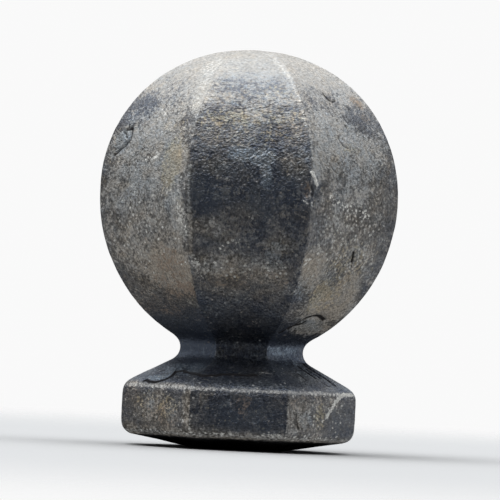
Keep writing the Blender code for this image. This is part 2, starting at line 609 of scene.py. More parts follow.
@dataclass(frozen=True)
class Flake:
    """A patch that scale has come off, deepest beside the line where the scale that is left overhangs it.

    A negative depth makes it a sheet of scale that stands proud along that line.
    """

    border: Path
    lip: Path
    depth: float
    fade: float
    wall: float = 0.16

    def heights(self, skin: SkinMap) -> np.ndarray:
        """How far it raises each point, in millimetres."""
        reach = np.clip(skin.to_path(self.border + self.border[:1]) / self.wall, 0.0, 1.0)
        from_lip = np.exp(-skin.to_path(self.lip) / self.fade)
        return -self.depth * reach * from_lip * skin.inside(self.border)


@dataclass(frozen=True)
class Patch:
    """A place on one flat where some stain or wear is seen, as a soft ellipse."""

    azimuth: float
    run: float
    wide: float
    tall: float
    strength: float = 1.0
    tilt: float = 0.0
    core: float = 0.4
    fade: float = 0.9

    def cover(self, skin: SkinMap) -> np.ndarray:
        """How strongly it covers each point."""
        across = skin.aside(self.azimuth)
        down = skin.runs - self.run
        turn = math.radians(self.tilt)
        first = (across * math.cos(turn) + down * math.sin(turn)) / (self.wide / 2)
        second = (down * math.cos(turn) - across * math.sin(turn)) / (self.tall / 2)
        away = np.clip((np.hypot(first, second) - self.core) / self.fade, 0.0, 1.0)
        return self.strength * (1.0 - away * away * (3.0 - 2.0 * away)) * skin.on_flat(self.azimuth)


@dataclass(frozen=True)
class Line:
    """A thin stain, mark or painted highlight along a line."""

    path: Path
    width: float = 0.30
    strength: float = 1.0

    def cover(self, skin: SkinMap) -> np.ndarray:
        """How strongly it covers each point."""
        return self.strength * np.exp(-(skin.to_path(self.path) / self.width) ** 2)


@dataclass(frozen=True)
class Rub:
    """A stretch of long edge that is rubbed pale."""

    azimuth: float
    start: float
    end: float
    strength: float
    fade: float = 2.0
    half_angle: float = 20.0

    def cover(self, skin: SkinMap) -> np.ndarray:
        """How strongly it covers each point near that edge."""
        near = np.abs(skin.turn_from(self.azimuth)) < self.half_angle
        inward = np.minimum(skin.runs - self.start, self.end - skin.runs)
        return self.strength * np.clip(inward / self.fade, 0.0, 1.0) * near


class Stain(Enum):
    """What a patch is made of, and the painted shade, sheen and highlights carried with some kinds; the
    value names the number that the finish reads.
    """

    DUST_AND_HIGHLIGHT = "dust"
    RUST = "rust"
    OCHRE = "ochre"
    BLUE = "blue_and_sheen"
    CHALK = "chalk"
    SCRATCH_AND_HIGHLIGHT = "scratch_and_highlight"
    SOOT_AND_SHADE = "soot_and_shade"
    PALE_AND_HIGHLIGHT = "pale"


@dataclass
class Wear:
    """The marks that years outdoors left: cracks, flaked scale, a chipped edge, and stains, with painted
    shade, sheen and highlights among them.
    """

    refine_within: float = 0.9
    refine_cuts: int = 2
    creases: tuple[float, ...] = (1.0, 0.3, 0.6, 0.4, 0.8, 0.4, 0.6, 0.3)
    random_patches: int = 26
    hidden_azimuths: Span = (75.0, 285.0)
    hidden_runs: Span = (22.0, 106.0)
    hidden_widths: Span = (3.0, 12.0)
    hidden_heights: Span = (2.0, 8.0)
    hidden_strengths: Span = (0.3, 0.8)
    hidden_tilts: Span = (-40.0, 40.0)
    hidden_flats: tuple[float, ...] = (90.0, 135.0, 180.0, 225.0, 270.0)
    seed: int = 4

    def cracks(self) -> list[Groove]:
        """Cracks, slits and raised rims."""
        slit = ((49.6, 56.8), (49.5, 57.8), (49.8, 58.9), (50.1, 59.7), (50.6, 60.9))
        chip_top = ((22.0, 42.4), (23.2, 43.0), (24.2, 43.8), (24.9, 44.5), (24.4, 45.0))
        chip_foot = ((19.4, 47.8), (21.3, 48.5), (23.1, 48.2), (24.6, 47.1), (24.8, 45.7))
        plate = ((-61.4, 34.6), (-58.7, 34.3), (-57.8, 35.6), (-57.4, 36.9), (-58.8, 38.1), (-60.7, 39.0),
                 (-63.2, 40.2))
        low_plate = ((32.0, 77.6), (34.5, 76.6), (35.9, 76.2), (37.5, 75.1), (40.1, 74.0), (44.5, 73.4),
                     (49.0, 73.3), (54.4, 74.2))
        return [
            Groove(plate, 0.60, 0.34, 0.7),
            Groove(((-62.4, 35.2), (-60.6, 35.8), (-60.0, 36.4)), 0.36, 0.20, 0.6),
            Groove(((-61.6, 33.4), (-60.8, 34.2)), 0.34, 0.15),
            Groove(((40.1, 23.7), (41.2, 25.1), (43.5, 26.0), (46.5, 25.5)), 0.32, 0.20, 0.7),
            Groove(((40.0, 24.5), (41.6, 25.4), (41.1, 26.7)), 0.22, 0.12),
            Groove(((50.7, 26.4), (52.2, 27.0), (53.9, 27.8)), 0.24, 0.14),
            Groove(((38.7, 34.5), (39.4, 35.3), (40.6, 36.2), (43.2, 36.7)), 0.28, 0.18),
            Groove(((31.5, 40.0), (33.0, 41.2), (35.0, 42.0)), 0.26, 0.12),
            Groove(slit[1:4], 0.44, 0.35, 1.0),
            Groove(slit, 0.22, 0.10),
            Groove(((22.6, 45.0), (23.4, 46.2), (22.8, 47.0)), 0.62, 0.03),
            Groove(((51.2, 57.4), (52.3, 58.6), (52.4, 59.6)), 0.35, -0.12),
            Groove(((51.1, 62.3), (51.8, 63.4), (53.3, 64.8)), 0.22, 0.10),
            Groove(low_plate, 0.78, 0.32, 1.0),
            Groove(((26.5, 79.1), (30.5, 77.7), (35.5, 76.9), (40.4, 76.0), (42.3, 75.2)), 0.50, 0.14, 0.8),
            Groove(((59.8, 80.9), (61.0, 79.7), (61.3, 78.5), (62.2, 77.8)), 0.26, 0.16),
            Groove(chip_top, 0.36, -0.14),
            Groove(chip_foot, 0.34, -0.10),
            Groove(((27.9, 101.5), (28.7, 103.3), (29.9, 105.2)), 0.34, 0.20),
            # Painted shadow under the scale sheet's lip: these grooves are barely sunk and give only shade.
            Groove(self.sheet_lip()[:14], 0.60, 0.01, 0.95),
            Groove(self.sheet_lip()[13:19], 0.60, 0.01, 0.95),
            Groove(self.sheet_lip()[18:], 0.70, 0.01, 0.9),
            Groove(((43.3, 90.4), (43.9, 91.8), (43.7, 92.9)), 0.40, 0.10),
            Groove(((53.6, 87.3), (53.9, 90.4), (54.5, 92.1)), 0.50, 0.16, 0.8),
            Groove(((55.0, 93.6), (55.2, 94.6), (56.2, 95.4)), 0.42, 0.10),
            Groove(((63.6, 86.4), (62.4, 89.4), (62.6, 92.4), (61.8, 94.8)), 0.50, 0.18, 0.7),
            Groove(((58.2, 88.4), (57.4, 89.8), (58.9, 91.0), (58.6, 92.0)), 0.42, 0.14),
        ]

    @staticmethod
    def sheet_lip() -> Path:
        """The ragged edge of the scale sheet on the shoulder, from its left end to the right."""
        return ((-57.2, 96.7), (-55.5, 96.5), (-53.2, 96.9), (-48.1, 97.0), (-43.8, 95.9), (-42.7, 95.1),
                (-42.5, 93.8), (-44.0, 92.3), (-40.6, 92.0), (-38.4, 91.8), (-34.6, 92.3), (-30.0, 92.6),
                (-26.3, 92.7), (-21.6, 93.4), (-18.9, 93.4), (-16.6, 93.1), (-13.6, 93.2), (-11.5, 92.5),
                (-4.3, 92.3), (4.0, 92.4), (10.0, 92.0))

    def flakes(self) -> list[Flake]:
        """Places where scale has come away, and the sheet that lifts off the shoulder."""
        top_left = ((-61.9, 34.9), (-58.7, 34.4), (-57.8, 35.6), (-57.4, 36.9), (-58.8, 38.1),
                    (-60.7, 39.0), (-62.8, 39.9), (-64.2, 39.1), (-63.4, 37.6), (-62.6, 36.3))
        low_right = ((34.5, 75.9), (38.4, 74.6), (44.5, 73.6), (48.3, 73.5), (54.4, 74.3), (57.0, 76.1),
                     (55.3, 77.9), (52.8, 79.4), (45.1, 79.6), (35.1, 78.6))
        chip = ((21.6, 43.8), (23.2, 44.4), (23.9, 45.8), (22.7, 47.2), (21.0, 47.9), (19.4, 47.1),
                (18.9, 45.7), (20.0, 44.5))
        base = ((27.8, 101.2), (31.3, 101.0), (36.0, 101.3), (38.9, 102.4), (38.5, 104.4), (34.8, 105.9),
                (31.4, 105.5), (29.5, 103.6))
        top_left_lip = ((-58.7, 34.5), (-57.8, 35.6), (-57.4, 36.9), (-58.8, 38.1), (-60.7, 39.0))
        sheet = self.sheet_lip()
        return [
            Flake(top_left, top_left_lip, 0.35, 3.0),
            Flake(low_right, low_right[:5], 0.40, 3.0),
            Flake(sheet + ((10.0, 87.0), (-62.0, 87.0)), sheet, -0.20, 2.2, 0.30),
            Flake(chip, chip, 0.34, 30.0, 0.7),
            Flake(base, ((27.8, 101.2), (29.5, 103.6), (31.4, 105.5)), 0.22, 3.0),
        ]

    def stains(self) -> dict[Stain, list[Patch | Line]]:
        """Where each stain, and each painted shade, sheen and highlight, is seen from the front."""
        return {
            Stain.DUST_AND_HIGHLIGHT: [
                # Painted highlight: a broad pale band beside the front flat's upper left edge.
                Line(((-36.0, 14.8), (-30.0, 19.1), (-28.0, 22.4), (-26.5, 25.4),
                      (-25.4, 29.0)), 1.3, 0.9),
                Patch(-45.0, 56.0, 26.0, 34.0, 0.72), Patch(-45.0, 40.0, 26.0, 22.0, 0.78),
                Patch(45.0, 50.0, 26.0, 44.0, 0.58), Patch(45.0, 38.0, 26.0, 18.0, 0.72),
                Patch(-45.0, 103.0, 19.0, 10.0, 0.5), Patch(45.0, 103.0, 19.0, 10.0, 0.4),
                Patch(-16.0, 54.0, 7.0, 4.0, 0.55), Patch(-11.0, 56.0, 6.0, 3.5, 0.45),
                Patch(0.0, 50.0, 6.5, 4.0, 0.45), Patch(0.0, 31.0, 20.0, 5.0, 0.3),
                Patch(-27.0, 53.0, 4.5, 18.0, 1.0), Patch(-28.0, 40.0, 5.0, 9.0, 0.9),
                Patch(26.0, 40.0, 6.0, 10.0, 0.8), Patch(27.0, 61.0, 5.0, 10.0, 0.8),
                Patch(-63.0, 50.0, 8.0, 20.0, 0.45),
                Line(((-64.0, 108.1), (-20.0, 108.1), (20.0, 108.1), (64.0, 108.1)), 1.4, 0.8),
                Line(((-64.0, 106.6), (-20.0, 107.2), (10.0, 107.2)), 1.6, 0.7),
                Patch(-10.0, 62.0, 16.0, 8.0, 0.75), Patch(6.0, 63.0, 14.0, 7.0, 0.6),
                Patch(0.0, 67.0, 22.0, 5.0, 0.3), Patch(-12.0, 42.0, 6.0, 4.0, 0.6),
                Patch(-3.0, 43.5, 6.0, 5.0, 0.3), Patch(2.0, 46.5, 3.0, 4.0, 0.4),
                Patch(17.0, 42.0, 5.0, 6.0, 0.55), Patch(14.0, 57.0, 6.0, 6.0, 0.45),
                Patch(-19.0, 47.0, 3.0, 8.0, 0.3), Patch(24.5, 61.0, 3.0, 5.0, 0.9),
                Patch(-32.0, 54.0, 16.0, 14.0, 0.5), Patch(-32.0, 43.0, 13.0, 22.0, 0.65),
                Patch(-38.0, 38.0, 10.0, 9.0, 0.6), Patch(-47.0, 42.0, 14.0, 24.0, 0.45),
                Patch(38.0, 37.0, 22.0, 18.0, 0.7), Patch(42.0, 54.0, 20.0, 20.0, 0.35),
                Patch(48.0, 38.0, 12.0, 14.0, 0.4), Patch(36.0, 62.0, 16.0, 10.0, 0.5),
                Patch(50.0, 71.0, 18.0, 12.0, 0.9), Patch(-34.0, 63.0, 22.0, 14.0, 0.95),
                Patch(-56.0, 47.0, 14.0, 16.0, 0.8),
                Line(((-22.3, 42.0), (-21.9, 46.0), (-21.4, 51.0), (-21.2, 56.0),
                      (-21.6, 60.0)), 0.6, 0.9),
                Patch(25.0, 103.0, 3.4, 11.0, 0.6), Patch(52.0, 77.0, 12.0, 5.0, 1.2),
                Patch(-26.0, 64.0, 6.0, 12.0, 1.1), Patch(-29.0, 41.0, 8.0, 9.0, 1.2),
                Patch(32.0, 40.0, 9.0, 9.0, 0.6), Patch(30.0, 62.0, 9.0, 13.0, 0.9),
                Patch(54.0, 66.0, 9.0, 10.0, 1.1), Patch(-26.0, 70.0, 5.0, 6.0, 0.6),
                Patch(-24.0, 103.0, 4.0, 11.0, 0.7), Patch(-38.0, 103.0, 8.0, 9.0, 0.35),
                Patch(30.0, 103.0, 8.0, 10.0, 0.6), Patch(48.0, 103.0, 12.0, 10.0, 0.4),
                Patch(-46.0, 97.4, 24.0, 1.6, 0.5),
            ],
            Stain.RUST: [
                Patch(61.0, 25.5, 3.4, 4.5, 0.8), Patch(60.0, 29.5, 3.0, 3.0, 0.5),
                Patch(-33.0, 62.5, 12.0, 8.0, 0.65, 25.0), Patch(-28.0, 68.0, 14.0, 6.0, 0.7),
                Patch(-45.0, 65.0, 14.0, 9.0, 0.35), Patch(-10.0, 65.5, 16.0, 5.0, 0.4),
                Patch(-50.0, 72.0, 18.0, 8.0, 0.4), Patch(1.5, 100.6, 4.4, 4.6, 0.45),
                Patch(21.3, 46.0, 2.8, 3.4, 0.55), Patch(8.0, 64.5, 12.0, 5.0, 0.3),
                Patch(-30.0, 59.6, 1.8, 1.6, 1.0), Patch(14.0, 33.0, 6.0, 3.0, 0.35),
                Patch(-40.0, 58.0, 8.0, 4.0, 0.35), Patch(-40.0, 104.0, 10.0, 6.0, 0.45),
                Patch(-62.0, 100.0, 6.0, 6.0, 0.4), Patch(30.0, 100.0, 6.0, 4.0, 0.3),
            ],
            Stain.OCHRE: [
                Patch(-31.0, 42.0, 6.0, 13.0, 1.1, 6.0), Patch(-8.0, 32.0, 22.0, 6.0, 0.5),
                Patch(12.0, 30.5, 12.0, 6.0, 0.45), Patch(0.0, 35.0, 24.0, 5.0, 0.35),
                Patch(-33.0, 34.0, 6.0, 5.0, 0.35), Patch(5.0, 24.0, 16.0, 5.0, 0.3),
                Patch(-27.0, 50.0, 6.0, 6.0, 0.4), Patch(44.0, 36.5, 7.0, 3.0, 0.6),
                Patch(40.0, 68.0, 7.0, 9.0, 0.95), Patch(48.0, 60.0, 14.0, 12.0, 0.45),
                Patch(46.0, 69.0, 8.0, 10.0, 0.5), Patch(-36.0, 102.0, 7.0, 5.0, 0.6),
                Patch(-52.0, 101.0, 6.0, 5.0, 0.4), Patch(44.0, 102.5, 4.0, 7.0, 0.7),
            ],
            Stain.BLUE: [
                # Bluish scale, and painted sheen: the thin patches across the neck stand for a reflection
                # of the sky.
                Patch(-4.0, 39.2, 6.5, 4.0, 1.2), Patch(4.5, 39.6, 6.5, 4.0, 1.4),
                Patch(6.4, 43.0, 3.0, 7.0, 1.1), Patch(-2.0, 28.0, 14.0, 3.0, 0.5),
                Patch(8.0, 25.0, 8.0, 4.0, 0.4), Patch(-12.0, 22.0, 8.0, 4.0, 0.4),
                Patch(-60.8, 37.2, 4.4, 5.6, 1.6), Patch(12.0, 59.5, 6.0, 9.0, 0.8),
                Patch(33.0, 33.0, 8.0, 4.0, 0.5), Patch(-35.0, 103.5, 4.5, 5.0, 0.8),
                Patch(-48.0, 103.0, 4.0, 6.0, 0.7), Patch(34.5, 103.5, 4.2, 4.6, 0.9),
                Patch(46.0, 76.5, 11.0, 4.4, 1.2), Patch(-40.0, 91.0, 14.0, 8.0, 0.8),
                Patch(-50.0, 95.0, 8.0, 3.5, 1.0), Patch(-42.0, 84.7, 10.0, 2.2, 0.4),
                Patch(40.0, 84.0, 11.0, 2.6, 0.7), Patch(-6.0, 101.5, 4.0, 4.0, 0.4),
                Patch(0.0, 85.0, 24.0, 9.0, 0.3), Patch(38.0, 41.0, 9.0, 6.0, 0.55),
                Patch(-50.0, 46.0, 8.0, 12.0, 0.6), Patch(-42.0, 36.0, 8.0, 5.0, 0.4),
                Patch(28.0, 66.0, 8.0, 9.0, 0.6), Patch(30.0, 52.0, 8.0, 8.0, 0.4),
                Patch(45.0, 88.0, 10.0, 9.0, 0.5),
            ],
            Stain.CHALK: [
                Line(((-62.0, 107.5), (-20.0, 107.4), (20.0, 107.4), (62.0, 107.6)), 0.9, 1.0),
                Line(((-62.0, 98.4), (-20.0, 98.2), (20.0, 98.0), (62.0, 98.0)), 0.8, 0.6),
                Line(((-22.5, 98.9), (-22.3, 102.4), (-22.6, 104.7), (-22.4, 106.8)), 0.8, 0.3),
                Line(((33.0, 47.2), (36.8, 48.6), (42.2, 48.8), (47.7, 49.6), (52.5, 50.2)), 0.9, 1.5),
                Line(((-47.0, 41.0), (-43.0, 41.0), (-38.0, 40.4)), 0.8, 1.3),
                Line(((-27.5, 61.9), (-20.0, 61.6), (-13.0, 61.5)), 0.8, 1.2),
                Line(((-26.0, 50.5), (-24.6, 53.0), (-22.6, 55.0)), 0.9, 1.3),
                Line(((-10.5, 58.4), (-6.0, 57.2), (-2.5, 56.8)), 0.6, 1.2),
                Patch(-39.0, 40.2, 3.0, 1.6, 1.3), Patch(-45.5, 31.0, 4.0, 4.0, 0.7),
                Patch(-24.5, 52.5, 3.5, 4.0, 1.1, 45.0), Patch(-35.0, 54.5, 2.2, 1.8, 1.3),
                Patch(-39.0, 57.0, 2.5, 2.5, 1.0), Patch(-27.8, 57.0, 2.0, 1.8, 1.0),
                Patch(-24.0, 62.0, 6.0, 1.4, 1.0), Patch(-7.0, 58.0, 6.0, 1.6, 1.0, -15.0),
                Patch(-14.0, 62.5, 6.0, 2.0, 0.8), Patch(2.0, 63.0, 8.0, 2.0, 0.7),
                Patch(-26.0, 105.0, 4.0, 6.0, 0.5), Patch(-26.0, 28.0, 2.0, 5.0, 0.8),
                Patch(-50.0, 56.0, 18.0, 18.0, 0.5), Patch(45.0, 56.0, 22.0, 20.0, 0.5),
                Patch(0.0, 63.0, 24.0, 7.0, 0.5), Patch(52.0, 103.0, 14.0, 9.0, 0.5),
                Patch(-30.0, 48.0, 12.0, 12.0, 0.4),
            ],
            Stain.SCRATCH_AND_HIGHLIGHT: [
                # Painted highlight on the chip's upper rim, drawn as a pale scratch.
                Line(((22.6, 42.3), (23.4, 43.0), (24.3, 43.8), (24.7, 44.6)), 0.42, 1.3),
                Line(((20.0, 48.0), (21.3, 48.6), (23.1, 48.2), (24.0, 47.6)), 0.24, 0.5),
                Line(((48.7, 102.7), (51.8, 101.0), (54.6, 99.6), (57.9, 98.4), (61.1, 97.8),
                      (63.6, 97.8), (65.8, 98.0)), 0.46, 1.1),
                Line(((-42.6, 40.9), (-40.1, 40.7), (-39.3, 40.1), (-38.3, 39.9)), 0.36, 0.9),
                Line(((-39.3, 40.4), (-40.1, 39.2)), 0.28, 0.8),
                Line(((-22.3, 51.5), (-21.6, 54.5), (-20.9, 57.0)), 0.34, 0.36),
                Line(((-20.8, 60.0), (-20.0, 63.6), (-18.0, 64.8)), 0.30, 0.42),
                Line(((23.2, 60.0), (26.5, 59.6)), 0.30, 0.7),
                Line(((24.6, 60.4), (23.6, 61.0)), 0.24, 0.7),
                Line(((22.6, 66.8), (21.8, 67.6)), 0.24, 0.6),
                Line(((51.4, 57.4), (52.5, 58.6), (52.6, 59.6)), 0.24, 0.6),
                Line(((12.0, 107.0), (16.0, 106.8), (20.0, 106.6)), 0.45, 0.6),
                Line(((-16.0, 107.2), (-9.0, 107.0), (-2.0, 107.2)), 0.30, 0.6),
                Line(((-22.4, 104.4), (-22.4, 106.6)), 0.30, 0.7),
            ],
            Stain.PALE_AND_HIGHLIGHT: [
                # Pale wear and painted highlights: a band beside the front flat's upper left edge, a thin
                # line along its upper right edge, and soft strips lower down.
                Line(((-33.0, 15.0), (-29.0, 19.5), (-26.5, 24.0), (-25.0, 29.0)), 2.2, 0.26),
                Line(((-25.5, 24.0), (-24.4, 27.0), (-23.6, 31.0), (-23.4, 34.0)), 0.5, 0.26),
                Line(((17.7, 11.6), (19.5, 15.6), (20.8, 19.1), (21.0, 20.9)), 0.36, 0.36),
                Line(((21.0, 20.9), (20.9, 22.7), (21.2, 24.5), (21.8, 26.1)), 0.28, 0.26),
                Line(((21.8, 26.1), (21.9, 27.6), (21.8, 29.2), (21.8, 32.5)), 0.24, 0.18),
                Line(((-50.5, 46.5), (-49.0, 47.5)), 0.7, 0.4),
                Line(((-24.5, 51.0), (-23.0, 56.0)), 0.9, 0.4),
                Line(((-31.0, 47.5), (-26.0, 50.0)), 0.9, 0.3),
            ],
            Stain.SOOT_AND_SHADE: [
                # Soot, and painted shade: the patches round the neck under the ball and at the right end of
                # the base stand for shade.
                Patch(0.0, 21.0, 18.0, 10.0, 0.8), Patch(0.0, 15.0, 14.0, 8.0, 0.45),
                Patch(0.0, 76.0, 40.0, 11.0, 0.35), Patch(0.0, 42.5, 20.0, 5.0, 0.5),
                Patch(-40.0, 77.5, 24.0, 11.0, 0.7), Patch(25.0, 81.0, 16.0, 7.0, 0.5),
                Patch(46.0, 84.0, 22.0, 8.0, 0.6), Patch(-46.0, 85.0, 22.0, 13.0, 1.3),
                Patch(5.0, 47.0, 20.0, 11.0, 0.5), Patch(-15.0, 47.5, 9.0, 9.0, 1.0),
                Patch(-8.0, 48.0, 10.0, 6.0, 0.6), Patch(13.0, 46.0, 9.0, 9.0, 0.9),
                Patch(6.0, 49.0, 11.0, 6.0, 0.7), Patch(13.0, 53.5, 9.0, 5.0, 0.4),
                Patch(-14.0, 58.5, 10.0, 4.0, 0.4), Patch(4.0, 103.0, 17.0, 9.0, 1.0),
                Patch(58.0, 105.0, 12.0, 9.0, 0.6), Patch(-58.0, 31.0, 10.0, 10.0, 0.6),
                Patch(58.0, 31.0, 10.0, 10.0, 0.5),
            ],
        }

    def rubs(self) -> list[Rub]:
        """Long edges that are rubbed: the ball's upper ones and the base's upright ones."""
        base = (96.0, 110.0)
        seen = [Rub(22.5, 12.0, 35.0, 0.35), Rub(-22.5, 10.0, 30.0, 0.2), Rub(22.5, 41.0, 49.0, 0.6),
                Rub(22.5, 48.0, 66.0, 0.35), Rub(-22.5, 48.0, 68.0, 0.25), Rub(22.5, *base, 0.55),
                Rub(-22.5, *base, 0.35), Rub(67.5, *base, 0.6), Rub(-67.5, *base, 0.6)]
        crown = ((67.5, 16.0), (112.5, 12.0), (157.5, 18.0), (202.5, 10.0), (247.5, 15.0), (292.5, 20.0))
        hidden = [Rub(azimuth, start, start + 16.0, 0.6) for azimuth, start in crown]
        hidden += [Rub(azimuth, *base, 0.6) for azimuth in (112.5, 157.5, 202.5, 247.5)]
        return seen + hidden

    def scattered(self) -> dict[Stain, list[Patch]]:
        """Patches of the same kinds on the flats that the photograph doesn't show."""
        chance = np.random.default_rng(self.seed)
        found: dict[Stain, list[Patch]] = {}
        for stain in (Stain.DUST_AND_HIGHLIGHT, Stain.RUST, Stain.OCHRE, Stain.BLUE, Stain.CHALK):
            for _ in range(self.random_patches):
                azimuth = chance.uniform(*self.hidden_azimuths)
                run = chance.uniform(*self.hidden_runs)
                wide = chance.uniform(*self.hidden_widths)
                tall = chance.uniform(*self.hidden_heights)
                strength = chance.uniform(*self.hidden_strengths)
                tilt = chance.uniform(*self.hidden_tilts)
                found.setdefault(stain, []).append(Patch(azimuth, run, wide, tall, strength, tilt))
        found[Stain.DUST_AND_HIGHLIGHT] += [Patch(turn, 50.0, 22.0, 44.0, 0.45) for turn in self.hidden_flats]
        found[Stain.CHALK] += [Patch(turn, 55.0, 22.0, 30.0, 0.4) for turn in self.hidden_flats]
        # Painted shade round the neck of the other flats, under the ball.
        found[Stain.SOOT_AND_SHADE] = [Patch(float(turn), 79.0, 24.0, 20.0, 0.7) for turn in range(70, 300, 30)]
        return found

    def refine(self, mesh: bpy.types.Mesh) -> None:
        """Divides the skin's faces more finely where a crack or a flake's border runs over them."""
        skin = SkinMap(mesh)
        near = np.zeros(len(mesh.vertices), dtype=bool)
        for groove in self.cracks():
            near |= skin.to_path(groove.path) < self.refine_within
        for flake in self.flakes():
            near |= skin.to_path(flake.lip) < self.refine_within
        for line in self.stains()[Stain.SCRATCH_AND_HIGHLIGHT]:
            near |= skin.to_path(line.path) < self.refine_within / 2
        cage = bmesh.new()
        cage.from_mesh(mesh)
        edges = [edge for edge in cage.edges if near[edge.verts[0].index] and near[edge.verts[1].index]]
        bmesh.ops.subdivide_edges(cage, edges=edges, cuts=self.refine_cuts, use_grid_fill=True)
        cage.to_mesh(mesh)
        cage.free()

    def apply(self, mesh: bpy.types.Mesh) -> None:
        """Cuts the marks into the skin and stores the stains, and the painted shade of the cracks, on it.

        Args:
            mesh: the skin.
        """
        self.refine(mesh)
        skin = SkinMap(mesh)
        heights = np.zeros(len(skin.runs))
        for mark in [*self.flakes(), *self.cracks()]:
            heights += mark.heights(skin)
        hidden = self.scattered()
        for stain, patches in self.stains().items():
            cover = np.zeros(len(skin.runs))
            for patch in patches + hidden.get(stain, []):
                cover = np.maximum(cover, patch.cover(skin))
            skin.store(stain.value, cover)
        # Painted shade in the sunk grooves: the cracks, and the shadow under the scale sheet's lip.
        crack = np.zeros(len(skin.runs))
        for groove in self.cracks():
            if groove.depth > 0:
                crack = np.maximum(crack, groove.hollow_shade(skin))
        skin.store("crack", crack)
        skin.store("creased", np.array(self.creases)[skin.flats()])
        rubbed = np.zeros(len(skin.runs))
        for rub in self.rubs():
            rubbed = np.maximum(rubbed, rub.cover(skin))
        skin.store("rubbed", rubbed)
        skin.move(heights)


@dataclass(frozen=True)
class Reading:
    """What the finish reads at a point of the skin.

    The noises are centred on 0, from the widest to the finest, and mottle is how much of them the
    dust shows.
    """

    place: bpy.types.NodeSocket
    run: Value
    crown: Value
    mottle: Value
    stain: dict[Stain, Value]
    broad: Value
    lace: Value
    fine: Value
    grit: Value


